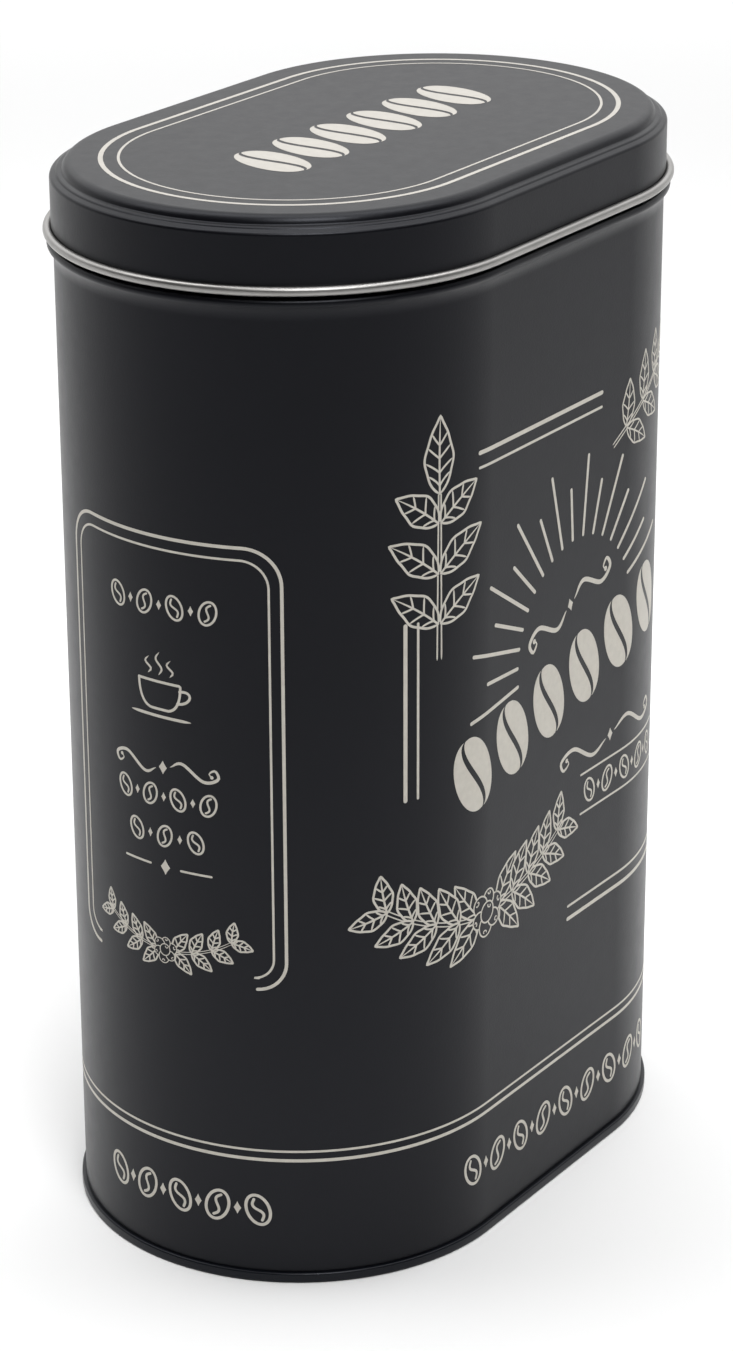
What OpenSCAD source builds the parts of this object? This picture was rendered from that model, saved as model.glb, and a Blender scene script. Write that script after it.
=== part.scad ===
// Oval coffee tin with a slip-on lid, millimetres, +Z up, base centre at the origin.
// Long axis along X, main face toward -Y, narrow end with the panel toward -X.

/* [Body] */
// Outside length of the body wall
body_length = 133; // [110:0.5:160]
// Outside width of the body wall (also the diameter of the round ends)
body_width = 86; // [70:0.5:100]
// Thickness of the tinplate sheet
sheet = 0.25; // [0.2:0.01:0.4]
// Height of the middle of the stop bead that the lid comes down to
bead_height = 191.55; // [150:0.1:220]
// Section radius of the stop bead
bead_radius = 0.85; // [0.5:0.05:1.5]
// How far the bead stands out of the wall
bead_out = 1.2; // [0.6:0.05:2]
// Section radius of the long hollow that runs from the wall out to the bead
bead_hollow = 4.5; // [0.8:0.1:6]
// How far the neck under the lid is set in from the wall
neck_step = 0.2; // [0.1:0.05:1]
// Section radius of the rolled mouth edge
mouth_curl_radius = 0.85; // [0.6:0.05:1.2]

/* [Base] */
// Height of the rolled base rim
rim_height = 2.0; // [1.8:0.1:4]
// How far the rim stands out of the wall
rim_out = 0.8; // [0.4:0.05:1.4]
// Height of the recessed base panel over the ground
base_recess = 2.35; // [2:0.05:5]

/* [Lid] */
// Overall height, ground to the top panel of the lid
total_height = 206.25; // [160:0.5:240]
// How far the lid skirt stands out of the body wall
skirt_out = 0.33; // [0.3:0.01:1]
// Height of the middle of the rolled mouth edge, below the top panel
mouth_drop = 3.22; // [3.2:0.02:6]
// Height of the middle of the rolled lid edge
lid_curl_height = 193.85; // [150:0.1:225]
// Section radius of the rolled lid edge
lid_curl_radius = 0.87; // [0.6:0.01:1.4]

/* [Hidden] */
r0 = body_width / 2;
half_straight = (body_length - body_width) / 2;
seg = 96;

// stop bead and its two hollows, as section circles
bead_c = [bead_out - bead_radius, bead_height];
low_r = bead_hollow;
low_c = [low_r, bead_height - sqrt(pow(low_r + bead_radius, 2) - pow(low_r - bead_c[0], 2))];
low_a = atan2(bead_height - low_c[1], bead_c[0] - low_c[0]);
top_r = 0.4;
top_c = [top_r - neck_step,
    bead_height + sqrt(pow(top_r + bead_radius, 2) - pow(top_r - neck_step - bead_c[0], 2))];
top_a = atan2(top_c[1] - bead_height, top_c[0] - bead_c[0]);

// Lid sheet from its flat panel outward. Each row is a turn and a straight run after it:
// radius (negative when hollow), slope in degrees at the end of the turn, length of the run
lid_turns = [[2.0, 68, 0.15], [-0.38, 10, 0.45], [0.6, 55, 0], [-0.5, 25, 0.6], [0.75, 90, 0]];
lid_width = let(line = lid_edge(0, [0, 0], 0, 0)) line[len(line) - 1][0];
panel_inset = lid_width - skirt_out;

mouth_z = total_height - mouth_drop;
rim_in = 0.57;

black = [0.08, 0.08, 0.09];
steel = [0.78, 0.77, 0.74];

// points of a section arc about c, from angle a0 to a1
function arc(c, r, a0, a1, n) =
    [for (i = [0:n]) [c[0] + r * cos(a0 + (a1 - a0) * i / n), c[1] + r * sin(a0 + (a1 - a0) * i / n)]];

// section points given as [distance out of the wall, height] moved to [radius, height]
function sec(p) = [for (q = p) [r0 + q[0], q[1]]];
function flip(p) = [for (i = [len(p) - 1:-1:0]) p[i]];

// runs a section round the oval: two half turns and two straight sides
module round_oval() {
    union() {
        translate([half_straight, 0, 0]) rotate([0, 0, -90]) rotate_extrude(angle = 180, $fn = seg)
            children();
        translate([-half_straight, 0, 0]) rotate([0, 0, 90]) rotate_extrude(angle = 180, $fn = seg)
            children();
        translate([-half_straight, 0, 0]) rotate([90, 0, 90])
            linear_extrude(height = 2 * half_straight) children();
        mirror([0, 1, 0]) translate([-half_straight, 0, 0]) rotate([90, 0, 90])
            linear_extrude(height = 2 * half_straight) children();
    }
}

// outer line of the body sheet from the ground up, moved in by t
function body_line(t) = concat(
    [[-t, 1.0]],
    arc(low_c, low_r + t, 180, low_a, 6),
    arc(bead_c, bead_radius - t, low_a - 180, top_a, 12),
    arc(top_c, top_r + t, top_a - 180, -180, 6),
    [[-neck_step - t, mouth_z]]);

module body_wall() {
    color(black) round_oval() polygon(sec(concat(body_line(0), flip(body_line(sheet)))));
}

// mouth edge rolled inward, open toward the neck
module body_mouth_curl() {
    c = [-neck_step - mouth_curl_radius, mouth_z];
    color(steel) round_oval() polygon(sec(concat(
        arc(c, mouth_curl_radius, 0.7, 290, 24),
        arc(c, mouth_curl_radius - sheet, 290, 0.7, 24))));
}

// lapped and welded side joint, a narrow raised strip up the middle of the far narrow end
module side_seam() {
    color(black) translate([half_straight, 0, 0]) rotate([0, 0, -0.9])
        rotate_extrude(angle = 1.8, $fn = seg)
            translate([r0 + 0.01, rim_height + 0.3]) square([0.14, low_c[1] - rim_height - 0.7]);
}

// rolled double rim: a flat foot, rounded shoulders, a slot that takes the wall edge
module base_seam_rim() {
    foot_r = 0.45;
    top_edge = 0.4;
    g = 0.01;
    color(black) round_oval() polygon(sec(concat(
        arc([-rim_in + foot_r, foot_r], foot_r, 180, 270, 6),
        arc([rim_out - foot_r, foot_r], foot_r, 270, 360, 6),
        arc([rim_out - top_edge, rim_height - top_edge], top_edge, 0, 90, 6),
        [[g, rim_height], [g, 1.0 - g], [-sheet - g, 1.0 - g], [-sheet - g, rim_height],
         [-rim_in, rim_height]])));
}

// recessed base panel with its upright edge inside the rim
module base_panel() {
    x = -rim_in - 0.01;
    turn = 0.8;
    color(steel) round_oval() polygon(concat(
        sec([[x, 0.5]]),
        sec(arc([x - turn, base_recess + sheet - turn], turn, 0, 90, 6)),
        [[0, base_recess + sheet], [0, base_recess]],
        sec(arc([x - turn, base_recess + sheet - turn], turn - sheet, 90, 0, 6)),
        sec([[x - sheet, 0.5]])));
}

// points of the lid edge from turn i on, starting at p with the given slope, moved in by t
function lid_edge(i, p, slope, t, n = 6) = i == len(lid_turns) ? [p] :
    let(r = lid_turns[i][0] - t, end = lid_turns[i][1], run = lid_turns[i][2],
        bend = [for (k = [0 : n]) let(a = slope + (end - slope) * k / n)
            p + r * [sin(a) - sin(slope), cos(a) - cos(slope)]],
        q = bend[n] + run * [cos(end), -sin(end)])
    concat([for (k = [0 : run > 0 ? n : n - 1]) bend[k]], lid_edge(i + 1, q, end, t, n));

// top of the lid and the upper skirt, outer line moved in by t
function lid_line(t) = concat(
    lid_edge(0, [-panel_inset, total_height - t], 0, t),
    [[skirt_out - t, lid_curl_height]]);

module lid_shell() {
    color(black) round_oval() polygon(concat(
        [[0, total_height]], sec(lid_line(0)), sec(flip(lid_line(sheet))),
        [[0, total_height - sheet]]));
}

// skirt edge rolled outward, bare metal
module lid_curl() {
    c = [skirt_out - sheet + lid_curl_radius, lid_curl_height];
    color(steel) round_oval() polygon(sec(concat(
        arc(c, lid_curl_radius, 180.7, 485, 26),
        arc(c, lid_curl_radius - sheet, 485, 180.7, 26))));
}

body_wall();
body_mouth_curl();
side_seam();
base_seam_rim();
base_panel();
lid_shell();
lid_curl();
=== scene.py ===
"""Looks of an oval coffee tin with a lift-off lid, built around its CAD frame.

Lengths in the drawing code are millimetres and are scaled to metres where meshes are made.
Sections are (distance out of the body wall, height); they are run round the oval outline.
"""

import math

import bpy
import numpy as np
from mathutils import Matrix, Vector


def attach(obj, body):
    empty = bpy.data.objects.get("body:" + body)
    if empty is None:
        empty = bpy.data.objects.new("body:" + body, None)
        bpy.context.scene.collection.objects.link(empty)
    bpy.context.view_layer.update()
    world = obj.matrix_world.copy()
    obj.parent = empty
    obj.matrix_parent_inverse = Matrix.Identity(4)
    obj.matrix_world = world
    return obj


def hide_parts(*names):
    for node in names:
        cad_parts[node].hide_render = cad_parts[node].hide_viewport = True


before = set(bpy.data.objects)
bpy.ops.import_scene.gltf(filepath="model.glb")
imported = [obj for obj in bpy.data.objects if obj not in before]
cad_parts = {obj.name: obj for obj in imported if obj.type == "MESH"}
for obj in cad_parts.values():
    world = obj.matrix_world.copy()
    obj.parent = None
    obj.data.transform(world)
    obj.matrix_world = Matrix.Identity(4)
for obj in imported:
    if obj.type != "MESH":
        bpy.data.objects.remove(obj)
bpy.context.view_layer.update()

MM = 0.001
END_R = 43.0  # radius of the body's round ends
FLAT = 23.5  # half the length of its straight sides
HALF_TURN = math.pi * END_R
ROUND = 2 * HALF_TURN + 4 * FLAT  # all the way round the wall
SHEET = 0.25  # thickness of the tinplate
TOP = 206.25  # height of the lid's flat panel
ROUND_STEPS = 160  # faces round each half of the oval
INK_HIGH, INK_SINK = 0.03, 0.02  # how far a printed plate stands out and goes in
INK_STEP, INK_LEVELS = 0.0006, 9  # printed plates that meet lie at slightly different heights
ART_DROP = 0.75  # the wall's art is placed this much lower than it is drawn
FOOT_ROW_Z = 15.8  # the row of small beans near the foot
TINY = 1e-9  # keeps a division by a length from failing


# ---- sections ---------------------------------------------------------------------------------
def arc(c, r, a0, a1, n):
    a = np.radians(np.linspace(a0, a1, n + 1))
    return np.column_stack([c[0] + r * np.cos(a), c[1] + r * np.sin(a)])


def wall_point(u, out):
    """A point at a distance u round the wall from the middle of the -Y face, and out of it."""
    u = (np.asarray(u, float) + FLAT) % ROUND
    x, y, nx, ny = (np.zeros_like(u) for _ in range(4))
    on_front = u < 2 * FLAT
    on_right = ~on_front & (u < 2 * FLAT + HALF_TURN)
    on_back = ~on_front & ~on_right & (u < 4 * FLAT + HALF_TURN)
    on_left = ~on_front & ~on_right & ~on_back
    x[on_front], ny[on_front] = u[on_front] - FLAT, -1
    x[on_back], ny[on_back] = 3 * FLAT + HALF_TURN - u[on_back], 1
    for part, start, cx in ((on_right, 2 * FLAT, 1), (on_left, 4 * FLAT + HALF_TURN, -1)):
        a = (u[part] - start) / END_R - cx * math.pi / 2
        x[part], nx[part], ny[part] = cx * FLAT, np.cos(a), np.sin(a)
    r = END_R + out
    return np.column_stack([x + nx * r, y + ny * r])


# ---- mesh building ----------------------------------------------------------------------------
def add_object(name, verts, faces, materials, face_material=None, smooth=True, sharp=35.0):
    """A mesh object from points in millimetres; its faces keep the winding they are given."""
    mesh = bpy.data.meshes.new(name)
    mesh.from_pydata((np.asarray(verts) * MM).tolist(), [], faces)
    for m in materials:
        mesh.materials.append(m)
    if face_material is not None:
        mesh.polygons.foreach_set("material_index", face_material)
    if smooth:
        mesh.shade_smooth()
        mesh.set_sharp_from_angle(angle=math.radians(sharp))
    mesh.validate()
    mesh.update()
    obj = bpy.data.objects.new(name, mesh)
    bpy.context.scene.collection.objects.link(obj)
    return obj


def ring_shell(name, section, materials, zone=None, capped=False, n_end=ROUND_STEPS):
    """A solid whose section runs round the oval. zone gives each section side its material.

    A capped section is open: its two ends are closed by flat panels across the middle.
    """
    section = np.asarray(section, float)
    m = len(section)
    stations = 2 * (n_end + 1)
    a = np.radians(np.linspace(-90, 90, n_end + 1))
    d = np.column_stack([np.cos(a), np.sin(a)])
    d = np.vstack([d, -d])
    c = np.zeros_like(d)
    c[: n_end + 1, 0], c[n_end + 1 :, 0] = FLAT, -FLAT
    r = END_R + section[:, 0]
    xy = c[:, None, :] + d[:, None, :] * r[None, :, None]
    z = np.broadcast_to(section[None, :, 1], (stations, m))
    verts = np.dstack([xy, z]).reshape(-1, 3)
    zone = [0] * m if zone is None else list(zone)
    faces, mats = [], []
    sides = m - 1 if capped else m
    for i in range(stations):
        k = (i + 1) % stations
        for j in range(sides):
            n = (j + 1) % m
            faces.append((i * m + j, k * m + j, k * m + n, i * m + n))
            mats.append(zone[j])
    if capped:
        faces.append([i * m for i in range(stations)][::-1])
        faces.append([i * m + m - 1 for i in range(stations)])
        mats += [zone[0], zone[-1]]
    area = 0.5 * np.sum(section[:, 0] * np.roll(section[:, 1], -1)
                        - np.roll(section[:, 0], -1) * section[:, 1])
    if area < 0:
        faces = [f[::-1] for f in faces]
    return add_object(name, verts, faces, materials, mats)


def printed(name, patches, place, ink):
    """Inked shapes as thin closed plates. place maps drawn points and a height to the surface."""
    verts, faces, base = [], [], 0
    for index, (left, right, across, closed) in enumerate(patches):
        n, top = len(left), INK_HIGH + INK_STEP * (index % INK_LEVELS)
        t = np.linspace(0, 1, across + 1)[None, :, None]
        grid = (left[:, None, :] * (1 - t) + right[:, None, :] * t).reshape(-1, 2)
        verts += [place(grid, top), place(grid, -INK_SINK)]
        w, low = across + 1, n * (across + 1)
        for i in range(n if closed else n - 1):
            k = (i + 1) % n
            for j in range(across):
                p, q, r, s = i * w + j, i * w + j + 1, k * w + j + 1, k * w + j
                faces.append((base + p, base + q, base + r, base + s))
                faces.append((base + low + s, base + low + r, base + low + q, base + low + p))
            for j, flip in ((0, False), (across, True)):
                p, s = i * w + j, k * w + j
                f = (base + p, base + s, base + low + s, base + low + p)
                faces.append(f[::-1] if flip else f)
        if not closed:
            for i, flip in ((0, True), (n - 1, False)):
                for j in range(across):
                    p, q = i * w + j, i * w + j + 1
                    f = (base + p, base + q, base + low + q, base + low + p)
                    faces.append(f[::-1] if flip else f)
        base += 2 * low
    return add_object(name, np.vstack(verts), faces, [ink], smooth=False)


def on_wall(centre):
    """Places drawn points on the wall, round a point centre mm from the middle of the -Y face."""
    return lambda p, h: np.column_stack([wall_point(p[:, 0] + centre, h), p[:, 1] - ART_DROP])


def on_lid(p, h):
    """Places drawn points on the lid's flat panel."""
    return np.column_stack([p, np.full(len(p), TOP + h)])


def box_ring(name, x0, x1, z0, z1, ink):
    """A ring with a rectangular section, round the oval."""
    return ring_shell(name, [(x0, z0), (x1, z0), (x1, z1), (x0, z1)], [ink])


def wall_line(name, z, wide, ink):
    """A printed line all round the wall, with its middle at height z."""
    return box_ring(name, -INK_SINK, INK_HIGH, z - wide / 2, z + wide / 2, ink)


def lid_line_ring(name, offset, wide, ink):
    """A printed line round the lid's panel, at a distance out of the wall (minus: further in)."""
    return box_ring(name, offset - wide / 2, offset + wide / 2, TOP - INK_SINK, TOP + INK_HIGH, ink)


# ---- materials --------------------------------------------------------------------------------
class Nodes:
    """Short way to write a node tree: adds nodes and links them by socket name."""

    def __init__(self, tree):
        self.tree = tree
        tree.nodes.clear()

    def add(self, kind, values=None, **settings):
        node = self.tree.nodes.new("ShaderNode" + kind)
        for key, value in settings.items():
            setattr(node, key, value)
        for key, value in (values or {}).items():
            socket = node.inputs[key]
            if isinstance(value, bpy.types.NodeSocket):
                self.link(value, socket)
            else:
                socket.default_value = value
        return node

    def link(self, value, socket):
        self.tree.links.new(value, socket)

    def bump(self, shader, height, strength, distance=0.0001):
        """Roughens a shader's surface; distance in metres."""
        node = self.add("Bump", {"Strength": strength, "Distance": distance, "Height": height})
        self.link(node.outputs["Normal"], shader.inputs["Normal"])


def noise(n, vector, scale, detail=3.0, rough=0.5):
    return n.add("TexNoise", {"Vector": vector, "Scale": scale, "Detail": detail,
                              "Roughness": rough}).outputs["Fac"]


def span(n, value, low, high, start=0.3, end=0.7):
    """Maps a noise value from its usual range to the range low to high."""
    return n.add("MapRange", {"Value": value, "From Min": start, "From Max": end, "To Min": low,
                              "To Max": high}).outputs["Result"]


def new_material(name):
    """A material with its node writer, its shader, and the piece's own coordinates."""
    material = bpy.data.materials.new(name)
    material.use_nodes = True
    n = Nodes(material.node_tree)
    shader = n.add("BsdfPrincipled")
    n.add("OutputMaterial", {"Surface": shader.outputs["BSDF"]})
    place = n.add("TexCoord").outputs["Object"]
    return material, n, shader, place


def two_tone(n, fac, a, b):
    """A colour between a and b."""
    mix = n.add("Mix", {"Factor": fac}, data_type="RGBA")
    # the colour sockets share their names with the number sockets, so they are set by place
    mix.inputs[6].default_value, mix.inputs[7].default_value = (*a, 1), (*b, 1)
    return mix.outputs[2]


def lacquer(name, dark, light, rough_low, rough_high, ior, grain_scale, grain):
    """Printing lacquer on sheet steel: near-black, with a fine grain and faint rub marks."""
    material, n, shader, place = new_material(name)
    cloud = noise(n, place, 38.0, 4.0, 0.55)
    shader.inputs["IOR"].default_value = ior
    n.link(two_tone(n, span(n, cloud, 0.0, 1.0), dark, light), shader.inputs["Base Color"])
    shader.inputs["Specular Tint"].default_value = (0.88, 0.91, 1.0, 1.0)
    worn = noise(n, place, 300.0, 5.0, 0.65)
    n.link(span(n, worn, rough_low, rough_high), shader.inputs["Roughness"])
    fine = noise(n, place, grain_scale, 2.0, 0.6)
    wave = noise(n, place, 260.0, 2.0, 0.5)
    both = n.add("Math", {0: span(n, fine, 0.0, 0.85), 1: span(n, wave, 0.0, 0.15)},
                 operation="ADD")
    n.bump(shader, both.outputs[0], grain)
    return material


def tinplate(name, dark, light, rough_low, rough_high, stretch):
    """Bare tinned steel with the fine streaks that rolling leaves, and soft cloudy spots."""
    material, n, shader, place = new_material(name)
    shader.inputs["Metallic"].default_value = 1.0
    streaky = n.add("Mapping", {"Vector": place, "Scale": stretch}).outputs["Vector"]
    streak = noise(n, streaky, 1.0, 3.0, 0.6)
    cloud = noise(n, place, 90.0, 4.0, 0.6)
    n.link(two_tone(n, span(n, cloud, 0.0, 1.0), dark, light), shader.inputs["Base Color"])
    n.link(span(n, streak, rough_low, rough_high), shader.inputs["Roughness"])
    n.bump(shader, streak, 0.03)
    return material


def printing_ink(name, low, high):
    """Cream printing ink: even, with a slight mottle from the plate."""
    material, n, shader, place = new_material(name)
    mottle = noise(n, place, 700.0, 3.0, 0.6)
    n.link(two_tone(n, span(n, mottle, 0.0, 1.0), low, high), shader.inputs["Base Color"])
    n.link(span(n, mottle, 0.38, 0.46), shader.inputs["Roughness"])
    shader.inputs["IOR"].default_value = 1.35
    n.bump(shader, mottle, 0.08, 0.00005)
    return material


wall_paint = lacquer("satin_black", (0.0018, 0.0018, 0.0029), (0.0026, 0.0026, 0.0041),
                     0.335, 0.375, 1.32, 2600.0, 0.10)
rim_paint = lacquer("rim_black", (0.0030, 0.0036, 0.0056), (0.0045, 0.0054, 0.0080),
                    0.27, 0.34, 1.33, 1800.0, 0.06)
bare_steel = tinplate("tinplate", (0.62, 0.61, 0.58), (0.72, 0.71, 0.68), 0.31, 0.36,
                      (420.0, 420.0, 60.0))
# The rolled edges use the same bare tinplate made much darker: painted shade that dims their
# highlight from the overhead strip.
shaded_curl_steel = tinplate("tinplate_curl_painted_shade", (0.32, 0.313, 0.304), (0.39, 0.383, 0.371), 0.34, 0.44,
                      (60.0, 60.0, 1500.0))
weld = tinplate("weld_line", (0.16, 0.155, 0.15), (0.34, 0.32, 0.30), 0.35, 0.55,
                (300.0, 300.0, 900.0))
ink = printing_ink("cream_ink", (0.575, 0.545, 0.485), (0.635, 0.603, 0.538))
# The lid's prints use the same cream ink made darker: painted shade, because the lid's panel takes
# more light from the overhead strip than the walls do.
shaded_lid_ink = printing_ink("cream_ink_lid_painted_shade", (0.405, 0.385, 0.350), (0.455, 0.433, 0.394))


# ---- sheet-metal pieces -----------------------------------------------------------------------
BEAD_R, BEAD_Z, BEAD_OUT = 0.85, 191.55, 0.35  # the stop bead: radius and place of its middle
LOW_R, TOP_R = 4.5, 0.4  # radius of the hollows below and above the bead
NECK = 0.2  # how far the wall is set in above the bead
bead_c = (BEAD_OUT, BEAD_Z)
low_c = (LOW_R, BEAD_Z - math.sqrt((LOW_R + BEAD_R) ** 2 - (LOW_R - bead_c[0]) ** 2))
low_a = math.degrees(math.atan2(BEAD_Z - low_c[1], bead_c[0] - low_c[0]))
top_x = TOP_R - NECK
top_c = (top_x, BEAD_Z + math.sqrt((TOP_R + BEAD_R) ** 2 - (top_x - bead_c[0]) ** 2))
top_a = math.degrees(math.atan2(top_c[1] - BEAD_Z, top_c[0] - bead_c[0]))
MOUTH_Z, MOUTH_R = TOP - 3.22, 0.85  # the mouth roll's middle and radius
WALL_FOOT = 1.0


def body_line(t):
    """The body sheet from the ground up, moved in by t."""
    return np.vstack([
        [(-t, WALL_FOOT)],
        arc(low_c, LOW_R + t, 180, low_a, 16),
        arc(bead_c, BEAD_R - t, low_a - 180, top_a, 22),
        arc(top_c, TOP_R + t, top_a - 180, -180, 8),
        [(-NECK - t, MOUTH_Z)],
    ])


outer, inner = body_line(0), body_line(SHEET)
body_wall = ring_shell("body_wall_sheet", np.vstack([outer, inner[::-1]]), [wall_paint, bare_steel],
                       [0] * (len(outer) - 1) + [1] * (len(inner) + 1))

curl_c = (-NECK - MOUTH_R, MOUTH_Z)
mouth_curl = ring_shell("mouth_roll", np.vstack([
    arc(curl_c, MOUTH_R, 0.7, 290, 36), arc(curl_c, MOUTH_R - SHEET, 290, 0.7, 36)]), [shaded_curl_steel])

RIM_OUT, RIM_IN, RIM_H = 0.8, 0.57, 2.0
FOOT_R, SHOULDER_R = 0.45, 0.4  # rounding of the rim's foot and of its upper edge
GAP = 0.01  # between the sheets
slot_out, slot_in, slot_low = GAP, -SHEET - GAP, WALL_FOOT - GAP
rim = ring_shell("base_rim", np.vstack([
    arc((-RIM_IN + FOOT_R, FOOT_R), FOOT_R, 180, 270, 10),
    arc((RIM_OUT - FOOT_R, FOOT_R), FOOT_R, 270, 360, 10),
    arc((RIM_OUT - SHOULDER_R, RIM_H - SHOULDER_R), SHOULDER_R, 0, 90, 10),
    [(slot_out, RIM_H), (slot_out, slot_low), (slot_in, slot_low), (slot_in, RIM_H),
     (-RIM_IN, RIM_H)],
]), [rim_paint])

BASE_Z, BASE_TURN, BASE_LOW = 2.35, 0.8, 0.5  # the panel's height, its bend, its edge's foot
base_x = -RIM_IN - GAP
base_c = (base_x - BASE_TURN, BASE_Z + SHEET - BASE_TURN)
upper = np.vstack([[(base_x, BASE_LOW)], arc(base_c, BASE_TURN, 0, 90, 12)])
under = np.vstack([[(base_x - SHEET, BASE_LOW)], arc(base_c, BASE_TURN - SHEET, 0, 90, 12)])
panel = ring_shell("base_sheet", np.vstack([upper[::-1], under]), [bare_steel, rim_paint],
                   [0] * len(upper) + [1] * len(under), capped=True)

# The lid sheet from its flat panel outward: radius (minus: hollow), slope in degrees that the turn
# ends at, and the straight run after it
LID_TURNS = ((2.0, 68, 0.15), (-0.38, 10, 0.45), (0.6, 55, 0.0), (-0.5, 25, 0.60), (0.75, 90, 0.0))
TURN_POINTS = 14
SKIRT, CURL_Z, CURL_R = 0.33, 193.85, 0.87  # the skirt's distance out, and its rolled edge


def lid_turns(x, z, t):
    """The lid's rounded edge from the point (x, z), moved in by t."""
    points, slope = [(x, z - t)], 0.0
    for radius, end, run in LID_TURNS:
        a = np.radians(np.linspace(slope, end, TURN_POINTS))
        x0, z0 = points[-1]
        points += list(zip(x0 + (radius - t) * (np.sin(a) - np.sin(a[0])),
                           z0 - (radius - t) * (np.cos(a[0]) - np.cos(a))))[1:]
        if run:
            x0, z0 = points[-1]
            points.append((x0 + run * math.cos(a[-1]), z0 - run * math.sin(a[-1])))
        slope = end
    return np.array(points)


INSET = lid_turns(0.0, 0.0, 0.0)[-1, 0] - SKIRT


def lid_line(t):
    """The lid sheet from the edge of its flat panel to the skirt's foot, moved in by t."""
    return np.vstack([lid_turns(-INSET, TOP, t), [(SKIRT - t, CURL_Z)]])


outer, inner = lid_line(0), lid_line(SHEET)
lid_shell = ring_shell("lid_sheet", np.vstack([outer, inner[::-1]]), [wall_paint, bare_steel],
                       [0] * (len(outer) - 1) + [1] * (len(inner) + 1), capped=True)

lid_c = (SKIRT - SHEET + CURL_R, CURL_Z)
lid_curl = ring_shell("lid_roll", np.vstack([
    arc(lid_c, CURL_R, 180.7, 485, 44), arc(lid_c, CURL_R - SHEET, 485, 180.7, 44)]), [shaded_curl_steel])


def seam_strip(name, half, section, z0, z1, out, material):
    """A thin upright strip on the +X end. section gives (share of half width, thickness)."""
    u = HALF_TURN / 2 + FLAT + np.array([s * half for s, _ in section])
    xy = wall_point(u, out + np.array([h for _, h in section]))
    levels = np.linspace(z0, z1, 60)
    m = len(section)
    verts = np.vstack([np.column_stack([xy, np.full(m, z)]) for z in levels])
    faces = [(i * m + j, i * m + (j + 1) % m, (i + 1) * m + (j + 1) % m, (i + 1) * m + j)
             for i in range(len(levels) - 1) for j in range(m)]
    faces += [list(range(m))[::-1], [(len(levels) - 1) * m + j for j in range(m)]]
    return add_object(name, verts, faces, [material])


SEAM_TOP = low_c[1] - 0.4
LAP = [(-1, -0.02), (1, -0.02), (1, 0.02), (0.93, 0.1), (0.8, 0.145), (-0.8, 0.145), (-0.93, 0.1),
       (-1, 0.02)]
WELD = [(1, 0.02), (-1, 0.02), (-1, -0.03), (-0.6, -0.1), (0.6, -0.1), (1, -0.03)]
seam = seam_strip("side_lap", 0.675, LAP, 2.3, SEAM_TOP, 0.0, wall_paint)
weld_in = seam_strip("weld_inside", 0.75, WELD, 3.2, SEAM_TOP, -SHEET, weld)


# ---- printed art, drawn flat in millimetres -------------------------------------------------
def line(*points):
    """Straight from point to point."""
    return np.array(points, float)


def bezier(*points, n=24):
    """A smooth curve through Bezier control points of any number."""
    pts, t = np.array(points, float), np.linspace(0, 1, n)[:, None]
    k = len(pts) - 1
    return sum(math.comb(k, i) * t**i * (1 - t) ** (k - i) * pts[i] for i in range(k + 1))


def spline(*points, n=12):
    """A smooth curve that passes through every given point."""
    p = np.array(points, float)
    p = np.vstack([2 * p[0] - p[1], p, 2 * p[-1] - p[-2]])
    t = np.linspace(0, 1, n, endpoint=False)[:, None]
    out = []
    for a, b, c, d in zip(p, p[1:], p[2:], p[3:]):
        out.append(0.5 * (2 * b + (c - a) * t + (2 * a - 5 * b + 4 * c - d) * t**2
                          + (3 * b - a - 3 * c + d) * t**3))
    return np.vstack(out + [p[-2:-1]])


def ellipse(centre, a, b, turn=0.0, start=0.0, sweep=360.0, n=48):
    """An arc of an ellipse with half axes a and b, the whole turned by an angle, in degrees."""
    t = np.radians(start + sweep * np.linspace(0, 1, n + 1))
    c, s = math.cos(math.radians(turn)), math.sin(math.radians(turn))
    x, y = a * np.cos(t), b * np.sin(t)
    return np.column_stack([centre[0] + c * x - s * y, centre[1] + s * x + c * y])


def resample(pts, step):
    """The same line with evenly spaced points."""
    d = np.r_[0, np.cumsum(np.hypot(*np.diff(pts, axis=0).T))]
    n = max(2, int(math.ceil(d[-1] / step)) + 1)
    s = np.linspace(0, d[-1], n)
    return np.column_stack([np.interp(s, d, pts[:, 0]), np.interp(s, d, pts[:, 1])])


def normals(pts, closed=False):
    """At each point of a line, the unit direction square to it, on its left."""
    if closed:
        t = np.roll(pts, -1, 0) - np.roll(pts, 1, 0)
    else:
        t = np.gradient(pts, axis=0)
    t /= np.maximum(np.hypot(*t.T), TINY)[:, None]
    return np.column_stack([-t[:, 1], t[:, 0]])


def inside(pts, poly):
    """Which points lie inside a closed outline."""
    x, y = pts[:, 0][:, None], pts[:, 1][:, None]
    x0, y0 = poly.T
    x1, y1 = np.roll(poly, -1, 0).T
    cross = ((y0 > y) != (y1 > y)) & (x < (x1 - x0) * (y - y0) / (y1 - y0 + 1e-12) + x0)
    return cross.sum(1) % 2 == 1


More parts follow.
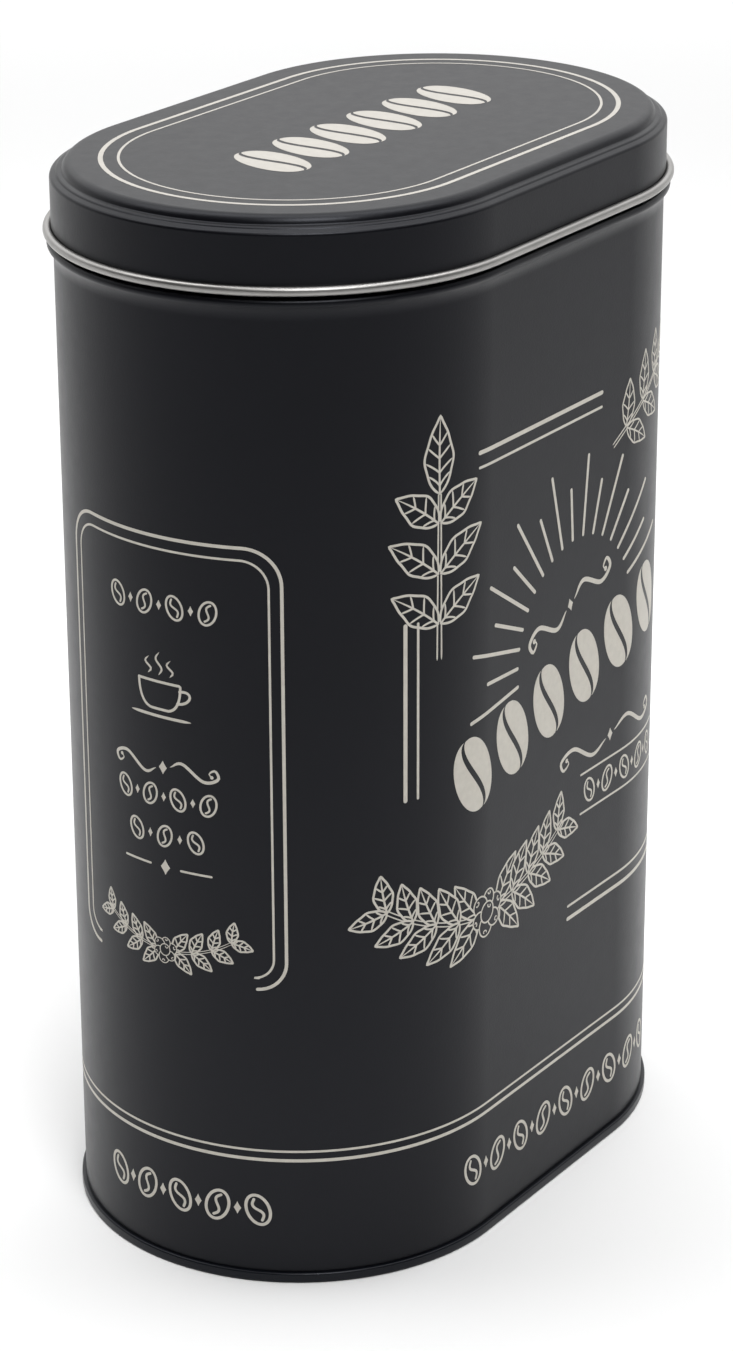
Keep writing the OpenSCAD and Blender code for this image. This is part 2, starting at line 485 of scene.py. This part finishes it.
class Print:
    """Inked shapes: strokes with a width along them, and filled patches between two edge lines."""

    def __init__(self):
        self.strokes, self.fills = [], []

    def stroke(self, pts, width, taper=(0.0, 0.0), closed=False, step=0.45):
        """A pen line. taper gives how much of each end runs out to a point; 0 is a round end."""
        pts = resample(np.asarray(pts, float), step)
        if closed:
            self.strokes.append((pts[:-1], np.full(len(pts) - 1, width / 2), True))
            return
        d = np.r_[0, np.cumsum(np.hypot(*np.diff(pts, axis=0).T))]
        s = d / d[-1]
        half = np.full(len(pts), width / 2)
        for t, along in ((taper[0], s), (taper[1], 1 - s)):
            if t > 0:
                half *= 0.12 + 0.88 * np.sin(np.clip(along / t, 0, 1) * math.pi / 2) ** 0.8
        self.strokes.append((pts, half, False))

    def clear(self, poly, grow=0.0):
        """Takes away what is already drawn inside an outline, for a shape that lies in front."""
        poly = np.asarray(poly, float)
        if grow:
            poly = poly.mean(0) + (poly - poly.mean(0)) * (1 + grow)
        kept = []
        for pts, half, closed in self.strokes:
            hit = inside(pts, poly)
            if not hit.any():
                kept.append((pts, half, closed))
                continue
            if closed:
                k = int(np.argmax(hit))
                pts, half, hit = np.roll(pts, -k, 0), np.roll(half, -k), np.roll(hit, -k)
            run = np.flatnonzero(~hit)
            for part in np.split(run, np.flatnonzero(np.diff(run) > 1) + 1):
                if len(part) > 2:
                    kept.append((pts[part], half[part], False))
        self.strokes = kept

    def patches(self):
        """Every inked shape as (left edge, right edge, steps across, closed)."""
        out = []
        for pts, half, closed in self.strokes:
            if not closed:
                pts, half = round_ends(pts, half)
            n = normals(pts, closed) * half[:, None]
            out.append((pts + n, pts - n, 1, closed))
        return out + self.fills

    def add(self, other, dx=0.0, dy=0.0, turn=0.0, scale=1.0):
        """Copies another print in, scaled, turned by an angle in degrees and moved."""
        c, s = scale * math.cos(math.radians(turn)), scale * math.sin(math.radians(turn))
        m, o = np.array([[c, s], [-s, c]]), np.array([dx, dy])
        self.strokes += [(p @ m + o, h * scale, k) for p, h, k in other.strokes]
        self.fills += [(a @ m + o, b @ m + o, n, k) for a, b, n, k in other.fills]

    # -- plant parts ------------------------------------------------------------------------
    def leaf(self, base, tip, width, bend=0.12, veins=5, pen=0.46):
        """A pointed leaf with a midrib and side veins, in front of what is already there."""
        base, tip = np.array(base, float), np.array(tip, float)
        along = tip - base
        side = np.array([-along[1], along[0]])
        axis = bezier(base, base + 0.5 * along + bend * side, tip, n=61)
        t = np.linspace(0, 1, 61)
        half = 0.5 * width * np.sin(math.pi * t**0.82) ** 0.9 * (1 - 0.45 * t**7)
        half *= 1 + 0.045 * np.sin(5.5 * math.pi * t)
        n = normals(axis)
        left, right = axis + n * half[:, None], axis - n * half[:, None]
        self.clear(np.vstack([left, right[::-1]]))
        self.stroke(left, pen, (0.06, 0.04))
        self.stroke(right, pen, (0.06, 0.04))
        self.stroke(axis[:59], pen * 0.9, (0.0, 0.6))
        for k in range(veins):
            i = int(6 + 42 * k / veins)
            j = min(i + 9, 57)
            for side_sign in (1, -1):
                mid = axis[(i + j) // 2] + side_sign * n[i] * half[i] * 0.36
                end = axis[j] + side_sign * n[j] * half[j] * 0.93
                self.stroke(bezier(axis[i], mid, end, n=10), pen * 0.8, (0.0, 0.25))

    def berry(self, centre, r, eye=0.0, pen=0.42, long=1.08):
        """A coffee cherry with its little crown, in front of what is already there."""
        c = np.array(centre, float)
        outline = ellipse(c, r * long, r, eye)
        self.clear(outline)
        self.stroke(outline, pen, closed=True)
        d = np.array([math.cos(math.radians(eye)), math.sin(math.radians(eye))])
        self.stroke(ellipse(c + d * r * (long - 0.46), r * 0.15, r * 0.24, eye, 80, 240, 10),
                    pen * 0.8, step=0.2)

    def stem(self, pts, wide=0.9, thin=0.5, pen=0.32):
        """A twig drawn as two lines that draw together toward its end."""
        pts = resample(np.asarray(pts, float), 0.6)
        w = np.linspace(wide, thin, len(pts))[:, None] / 2
        n = normals(pts)
        self.clear(np.vstack([pts + n * w, (pts - n * w)[::-1]]))
        self.stroke(pts + n * w, pen, (0.02, 0.1))
        self.stroke(pts - n * w, pen, (0.02, 0.1))

    def cluster(self, centre, r, count=6, turn=0.0, spread=1.35):
        """A bunch of berries round a node, the middle one in front."""
        c = np.array(centre, float)
        for k in range(count - 1):
            a = turn + 360.0 * k / (count - 1)
            off = np.array([math.cos(math.radians(a)), math.sin(math.radians(a))]) * r * spread
            self.berry(c + off, r * (0.92 + 0.08 * math.cos(3.1 * k)), a)
        self.berry(c, r * 0.98, turn + 40)

    # -- solid ornaments --------------------------------------------------------------------
    def bean(self, centre, wide, tall, turn=0.0, gap=0.12, curl=0.13, n=26):
        """A solid coffee bean: two halves either side of its wavy crease."""
        t = np.linspace(0, 1, n)
        y = -0.5 * tall * np.cos(math.pi * t)
        edge = 0.5 * wide * np.sin(math.pi * t) ** 0.86
        crease = curl * wide * np.sin(2 * math.pi * t)
        split = 0.5 * gap * wide * (0.35 + 0.65 * np.sin(math.pi * t))
        c, s = math.cos(math.radians(turn)), math.sin(math.radians(turn))
        m = np.array([[c, s], [-s, c]])
        for sign in (1, -1):
            inner = crease + sign * np.minimum(split, np.maximum(sign * (sign * edge - crease), 0))
            outer = np.where(sign * (sign * edge - inner) > 0, sign * edge, inner)
            a = np.column_stack([inner, y]) @ m + np.array(centre, float)
            b = np.column_stack([outer, y]) @ m + np.array(centre, float)
            keep = np.hypot(*(b - a).T) > 0.04
            self.fills.append((a[keep], b[keep], max(1, int(wide / 1.3)), False))

    def bean_line(self, centre, wide, tall, turn=0.0, pen=0.5):
        """A coffee bean drawn in outline, with its wavy crease."""
        outline = ellipse(centre, wide / 2, tall / 2, turn)
        self.clear(outline)
        self.stroke(outline, pen, closed=True, step=0.3)
        c, s = math.cos(math.radians(turn)), math.sin(math.radians(turn))
        t = np.linspace(-1, 1, 15)
        x, y = -0.16 * wide * np.sin(math.pi * t), 0.36 * tall * t
        self.stroke(np.column_stack([x * c - y * s, x * s + y * c]) + np.array(centre, float),
                    pen * 0.9, step=0.3)

    def diamond(self, centre, wide, tall):
        """A solid diamond with hollow sides."""
        x, y = centre
        top, bottom = np.array([x, y + tall / 2]), np.array([x, y - tall / 2])
        t = np.linspace(0, 1, 9)[:, None]
        mid = bottom + (top - bottom) * t
        h = 0.03 + 0.5 * wide * (1 - np.abs(2 * t - 1)) ** 1.25
        self.fills.append((mid + np.hstack([h, 0 * h]), mid - np.hstack([h, 0 * h]), 1, False))

    def dot(self, centre, r):
        """A solid round spot."""
        t = np.linspace(0.05, math.pi - 0.05, 15)
        x, y = centre[0] + 0 * t, centre[1] - r * np.cos(t)
        h = np.column_stack([r * np.sin(t), 0 * t])
        p = np.column_stack([x, y])
        self.fills.append((p + h, p - h, 1, False))


def round_ends(pts, half):
    """Closes both ends of a pen line with a round cap as wide as the line is there."""
    parts, halves = [pts], [half]
    for end, step in ((0, 1), (-1, -1)):
        d = pts[end] - pts[end + step]
        d = d / max(np.hypot(*d), TINY)
        a = np.radians([25, 50, 72, 88])
        cap = pts[end] + np.outer(np.sin(a), d) * half[end]
        ch = half[end] * np.cos(a)
        if end == 0:
            parts.insert(0, cap[::-1])
            halves.insert(0, ch[::-1])
        else:
            parts.append(cap)
            halves.append(ch)
    return np.vstack(parts), np.concatenate(halves)


def sprig_tall():
    """A straight twig with level pairs of plain leaves and one at its tip."""
    p = Print()
    p.stem(bezier((0, -22), (0, -6), (0, 12), n=30), 1.0, 0.5)
    for y, long in ((-15, 12.0), (-5.5, 12.6), (4, 11.0)):
        for side in (-1, 1):
            p.leaf((side * 0.3, y), (side * long * 0.84, y + long * 0.56), 5.6, 0.06 * side, 3)
    p.leaf((0, 9.5), (0.1, 24.0), 6.2, 0.02, 4)
    return p


def garland(pairs=5, long=14.5, wide=6.2, pen=0.46):
    """A hanging garland: leaf pairs that point outward from a round knot of berries."""
    p = Print()
    main = bezier((-34, 5), (-13, -9), (13, -9), (34, 5), n=120)
    p.stem(main, 1.0, 1.0)
    for k in range(pairs):
        for side in (-1, 1):
            i = 60 + side * int(7 + 50 * k / (pairs - 1))
            along = side * (main[min(i + 1, len(main) - 1)] - main[i - 1])
            heading = math.atan2(along[1], along[0])
            for lean in (-0.85, 0.85):
                size = long * (1 - 0.07 * k)
                way = np.array([math.cos(heading + lean), math.sin(heading + lean)])
                tip = main[i] + size * way
                p.leaf(tuple(main[i]), tuple(tip), wide * (1 - 0.05 * k), 0.05, 3, pen)
    p.cluster((0, -5.4), 2.7, 7, 20)
    return p


def flourish(length, rise=2.2, pen=0.75):
    """A level swash with a curl at each end and a small diamond in the middle."""
    p = Print()
    h = length / 2
    for s in (1, -1):
        curl = spline((s * 1.6, s * 0.4), (s * h * 0.35, s * rise * 0.9),
                      (s * h * 0.7, s * -rise * 0.7), (s * h * 0.94, s * -rise * 0.2),
                      (s * h * 0.9, s * rise * 0.75), (s * h * 0.8, s * rise * 0.35),
                      (s * h * 0.84, s * -rise * 0.1))
        p.stroke(curl, pen, (0.22, 0.35))
        p.dot((s * h * 0.84, s * -rise * 0.05), pen * 0.55)
    p.diamond((0, 0), 1.7, 2.6)
    return p


def bean_row(count, pitch, wide, tall, pen=0.0):
    """Small beans in a level row, with a diamond between each two. A pen draws them in outline."""
    p = Print()
    x0 = -0.5 * pitch * (count - 1)
    for k in range(count):
        lean = -20 if k % 2 else 20
        if pen:
            p.bean_line((x0 + k * pitch, 0), wide, tall, lean, pen)
        else:
            p.bean((x0 + k * pitch, 0), wide, tall, lean, 0.16)
        if k < count - 1:
            p.diamond((x0 + (k + 0.5) * pitch, 0), 0.22 * tall, 0.4 * tall)
    return p


def cup():
    """A plain cup on its saucer, with three curls of steam."""
    p = Print()
    bowl = np.vstack([bezier((-4.6, 2.6), (-4.5, -2.2), (-1.9, -2.7), n=16),
                      bezier((1.9, -2.7), (4.5, -2.2), (4.6, 2.6), n=16)])
    p.stroke(bezier((4.4, 1.5), (7.6, 2.3), (6.9, -0.8), (3.9, -0.9), n=20), 0.5)
    p.stroke(np.vstack([bowl, bowl[:1]]), 0.5)
    p.stroke(line((-6.6, -4.1), (6.6, -4.1)), 0.55, (0.15, 0.15))
    for x, h in ((-2.4, 3.2), (0, 4.4), (2.4, 3.2)):
        steam = spline((x, 3.9), (x + 0.7, 3.9 + h * 0.3), (x - 0.6, 3.9 + h * 0.68),
                       (x + 0.2, 3.9 + h))
        p.stroke(steam, 0.42, (0.3, 0.4))
    return p


def round_frame(half, low, high, r_top, r_low, open_half):
    """The end panel's frame: rounded at the corners and open in the middle of its foot."""
    return np.vstack([
        line((-open_half, low), (-half + r_low, low)),
        ellipse((-half + r_low, low + r_low), r_low, r_low, 0, 270, -90, 10),
        ellipse((-half + r_top, high - r_top), r_top, r_top, 0, 180, -90, 14),
        ellipse((half - r_top, high - r_top), r_top, r_top, 0, 90, -90, 14),
        ellipse((half - r_low, low + r_low), r_low, r_low, 0, 0, -90, 10),
        line((open_half, low)),
    ])


def main_face():
    """Everything on a broad face. x is measured from the face's middle, y is height."""
    p = Print()
    for x, w in ((-44.6, 0.8), (-42.0, 0.5), (47.8, 0.5), (50.4, 0.8)):
        p.stroke(line((x, 97.6), (x, 131.4)), w)
    for y, w in ((160.0, 0.8), (157.2, 0.5)):
        p.stroke(line((-27.4, y), (14.0, y)), w)
    for y, w in ((58.4, 0.5), (55.7, 0.8)):
        p.stroke(line((5.0, y), (43.0, y)), w)
    rays_c = np.array([6.0, 113.6])
    for k in range(17):
        a = math.radians(188 - 10.4 * k)
        d = np.array([math.cos(a), math.sin(a)])
        reach = 30.4 if k % 2 else 35.6
        p.stroke(line(rays_c + d * 20.4, rays_c + d * reach), 0.72)
    for k in range(6):
        c = (-28.4 + 12.6 * k, 98.4 + 2.9 * k)
        p.clear(ellipse(c, 6.0, 8.4, 18))
        p.bean(c, 10.2, 15.4, 18)
    p.add(flourish(31, 2.4, 0.9), 4.0, 121.2, 15)
    p.add(flourish(38, 2.2, 0.8), 19.6, 89.4, 0)
    for y in (84.6, 76.4):
        p.stroke(line((9.0, y), (42.0, y)), 0.42)
    p.add(bean_row(5, 6.6, 3.4, 5.0, 0.45), 25.4, 80.5)
    p.add(garland(5, 14.5, 6.2, 0.58), -24.0, 73.0, 0, 0.75)
    p.add(sprig_tall(), -37.4, 145.4)
    p.add(sprig_tall(), 33.6, 156.2, -62, 0.78)
    return p


def end_panel():
    """Everything on the narrow end. x is measured from the end's middle."""
    p = Print()
    p.stroke(round_frame(24.0, 62.0, 147.7, 7.0, 5.5, 18.6), 0.62)
    p.stroke(round_frame(21.7, 64.3, 145.4, 5.2, 3.8, 18.9), 0.42)
    p.add(bean_row(4, 6.6, 3.2, 4.6, 0.42), 0.6, 134.8)
    p.add(cup(), 0.2, 117.4)
    p.add(flourish(24, 1.7, 0.6), 0.6, 103.4)
    p.add(bean_row(4, 6.2, 3.0, 4.3, 0.42), 0.6, 97.6)
    p.add(bean_row(3, 6.6, 3.0, 4.3, 0.42), 0.6, 89.8)
    for s in (1, -1):
        p.stroke(line((0.6 + s * 3.4, 83.6), (0.6 + s * 9.6, 83.6)), 0.42)
    p.diamond((0.6, 83.6), 2.0, 3.0)
    p.add(garland(4, 13.0, 6.0, 0.8), 0.0, 69.0, 0, 0.42)
    return p


# ---- light settings ---------------------------------------------------------------------------
WORLD_FROM, WORLD_TO, WORLD_FRONT, WORLD_BACK = -0.2, 0.6, 0.03, 0.80
WORLD_SHOWN = 1.0  # the backdrop as the camera sees it; reflections see the gradient above
FLOOR_NEAR, FLOOR_FAR, FLOOR_GLOW = 0.75, 1.9, 0.75  # metres, metres, brightness
FLOOR_RADIUS = 12.0
# name, distance toward the camera, to the right, height, height aimed at (None: straight down),
# size, radiance, spread in degrees
LIGHTS = (
    ("overhead", -1.0, 0.0, 0.80, None, (2.1, 2.1), 0.74, 180.0),
    ("strip", -0.05, -0.1, 1.05, None, (1.7, 0.40), 3.2, 180.0),
    ("key", 0.55, 0.15, 1.05, 0.1, (0.4, 0.4), 0.95, 42.0),
)


# ---- printed pieces ---------------------------------------------------------------------------
END_MIDDLE = -(FLAT + HALF_TURN / 2)
BACK = ROUND / 2
foot_row = Print()
foot_row.add(bean_row(9, 8.3, 4.4, 6.4, 0.6), 5.4, FOOT_ROW_Z)
face = main_face().patches() + foot_row.patches()
end_row = Print()
end_row.add(bean_row(5, 8.0, 4.4, 6.4, 0.6), 2.0, FOOT_ROW_Z)
narrow = end_panel().patches() + end_row.patches()
lid_art = Print()
for k in range(6):
    lid_art.bean((-29.4 + 11.76 * k, 0), 10.0, 17.0, -14)

prints = [
    printed("print_front", face, on_wall(0.0), ink),
    printed("print_back", face, on_wall(BACK), ink),
    printed("print_end", narrow, on_wall(END_MIDDLE), ink),
    wall_line("print_base_thin", 27.75, 0.45, ink),
    wall_line("print_base_thick", 25.85, 0.65, ink),
]
lid_prints = [
    printed("print_lid", lid_art.patches(), on_lid, shaded_lid_ink),
    lid_line_ring("print_lid_outer", -8.9, 0.9, shaded_lid_ink),
    lid_line_ring("print_lid_inner", -12.1, 0.5, shaded_lid_ink),
]

for piece, node, slot in (
    (body_wall, "body_wall", "painted_wall"), (mouth_curl, "body_mouth_curl", "bare_tinplate"),
    (seam, "side_seam", "painted_wall"), (rim, "base_seam_rim", "painted_rim"),
    (panel, "base_panel", "bare_tinplate"), (lid_shell, "lid_shell", "painted_wall"),
    (lid_curl, "lid_curl", "bare_tinplate"),
):
    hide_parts(node)
for piece in [body_wall, mouth_curl, seam, weld_in, rim, panel] + prints:
    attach(piece, "tin_body")
for piece in [lid_shell, lid_curl] + lid_prints:
    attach(piece, "lid")


# ---- camera -----------------------------------------------------------------------------------
AZIMUTH, ELEVATION, ROLL = (math.radians(x) for x in (-55.615, 22.301, -0.242))
LENS, SENSOR, DISTANCE = 102.107, 36.0, 0.74279
AIM_HEIGHT, AIM_LEFT = 0.097719, 0.00033
right = Vector((math.cos(AZIMUTH), math.sin(AZIMUTH), 0))
away = Vector((math.sin(AZIMUTH) * math.cos(ELEVATION), -math.cos(AZIMUTH) * math.cos(ELEVATION),
               math.sin(ELEVATION)))
up = away.cross(right)
aim = Vector((0, 0, AIM_HEIGHT)) - right * AIM_LEFT
cam_data = bpy.data.cameras.new("camera")
cam_data.sensor_fit, cam_data.sensor_height, cam_data.sensor_width = "AUTO", SENSOR, SENSOR
cam_data.lens = LENS
cam_data.clip_start, cam_data.clip_end = 0.01, 50
camera = bpy.data.objects.new("camera", cam_data)
bpy.context.scene.collection.objects.link(camera)
axis_x = right * math.cos(ROLL) + up * math.sin(ROLL)
axis_y = up * math.cos(ROLL) - right * math.sin(ROLL)
turn = Matrix((axis_x, axis_y, away)).transposed().to_4x4()
camera.matrix_world = Matrix.Translation(aim + away * DISTANCE) @ turn
bpy.context.scene.camera = camera


# ---- floor, world and lights ------------------------------------------------------------------
floor_mat, n, shader, place = new_material("pale_floor")
shader.inputs["Base Color"].default_value = (0.94, 0.94, 0.94, 1)
shader.inputs["Roughness"].default_value = 0.9
shader.inputs["Specular IOR Level"].default_value = 0.1
bpy.ops.mesh.primitive_circle_add(vertices=96, radius=FLOOR_RADIUS, fill_type="NGON")
floor = bpy.context.object
floor.name = "floor"
floor.data.materials.append(floor_mat)
spot = n.add("VectorMath", {0: place}, operation="LENGTH")
far = n.add("MapRange", {"Value": spot.outputs["Value"], "From Min": FLOOR_NEAR,
                         "From Max": FLOOR_FAR, "To Min": 0.0, "To Max": FLOOR_GLOW},
            interpolation_type="SMOOTHSTEP")
n.link(far.outputs["Result"], shader.inputs["Emission Strength"])
shader.inputs["Emission Color"].default_value = (1.0, 1.0, 1.0, 1.0)

level = Vector((away.x, away.y, 0)).normalized()  # from the object toward the camera, level
world = bpy.data.worlds.new("studio")
bpy.context.scene.world = world
world.use_nodes = True
n = Nodes(world.node_tree)
direction = n.add("TexCoord").outputs["Generated"]
facing = n.add("VectorMath", {0: direction, 1: tuple(-level)}, operation="DOT_PRODUCT")
strength = n.add("MapRange", {"Value": facing.outputs["Value"], "From Min": WORLD_FROM,
                              "From Max": WORLD_TO, "To Min": WORLD_FRONT, "To Max": WORLD_BACK},
                 interpolation_type="SMOOTHSTEP").outputs["Result"]
seen = n.add("LightPath").outputs["Is Camera Ray"]
shown = n.add("Mix", {"Factor": seen, "A": strength, "B": WORLD_SHOWN}, data_type="FLOAT")
sky = n.add("Background", {"Color": (1, 1, 1, 1), "Strength": shown.outputs["Result"]})
n.add("OutputWorld", {"Surface": sky.outputs["Background"]})


def soft_light(name, at, toward, size, radiance, spread=180.0):
    """A rectangular soft light of a given brightness per area, its width level with the picture."""
    wide, deep = size
    data = bpy.data.lights.new(name, "AREA")
    data.shape, data.size, data.size_y = "RECTANGLE", wide, deep
    data.energy = radiance * math.pi * wide * deep
    data.spread = math.radians(spread)
    z = (Vector(at) - Vector(toward)).normalized()
    x = (right - z * right.dot(z)).normalized()
    light = bpy.data.objects.new(name, data)
    light.matrix_world = Matrix.Translation(at) @ Matrix((x, z.cross(x), z)).transposed().to_4x4()
    light.visible_camera = False
    bpy.context.scene.collection.objects.link(light)


for name, out, side, height, target, size, radiance, spread in LIGHTS:
    spot = level * out + right * side
    toward = spot if target is None else Vector((0, 0, target))
    soft_light(name, spot + Vector((0, 0, height)), toward, size, radiance, spread)

bpy.context.scene.view_settings.view_transform = "Standard"
